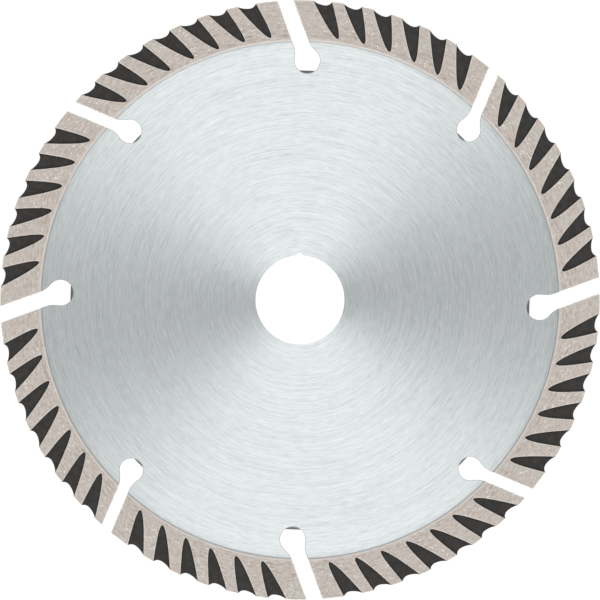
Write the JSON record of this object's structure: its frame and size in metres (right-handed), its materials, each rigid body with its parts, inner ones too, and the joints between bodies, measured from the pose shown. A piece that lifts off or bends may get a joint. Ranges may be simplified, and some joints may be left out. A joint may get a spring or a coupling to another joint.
{
  "type": "diamond blade",
  "caption": "Flat round diamond cutting blade: slotted steel core with a notched arbor bore and welded diamond segments with slanted recesses in their faces.",
  "frame": {"origin": "centre of the arbor bore, halfway through the steel core; it is also the centre of the bounding box", "axes": "+Z along the bore axis, out of the shown face; +Y towards the index notch of the bore; +X to the right of the notch as seen from +Z"},
  "size_m": [0.15, 0.15, 0.0024],
  "materials": {
    "core_steel": "circularly ground bright steel with a fine brushed lay",
    "diamond_matrix": "sandy sintered metal matrix, matt, with fine diamond grit in it",
    "foot_matrix": "sintered metal powder without diamonds, matt and finer than the diamond layer",
    "weld_steel": "fused laser weld, slightly duller than the ground core",
    "recess_paint": "flat black paint on the pressed recess floors",
    "diamond_grit": "small pale yellowish diamond crystals"
  },
  "bodies": {
    "root": {"core": "core_steel", "diamond_segment_1": "diamond_matrix", "diamond_segment_2": "diamond_matrix", "diamond_segment_3": "diamond_matrix", "diamond_segment_4": "diamond_matrix", "diamond_segment_5": "diamond_matrix", "diamond_segment_6": "diamond_matrix", "diamond_segment_7": "diamond_matrix", "diamond_segment_8": "diamond_matrix", "segment_foot_1": "foot_matrix", "segment_foot_2": "foot_matrix", "segment_foot_3": "foot_matrix", "segment_foot_4": "foot_matrix", "segment_foot_5": "foot_matrix", "segment_foot_6": "foot_matrix", "segment_foot_7": "foot_matrix", "segment_foot_8": "foot_matrix", "weld_seam_1": "weld_steel", "weld_seam_2": "weld_steel", "weld_seam_3": "weld_steel", "weld_seam_4": "weld_steel", "weld_seam_5": "weld_steel", "weld_seam_6": "weld_steel", "weld_seam_7": "weld_steel", "weld_seam_8": "weld_steel"}
  },
  "joints": []
}
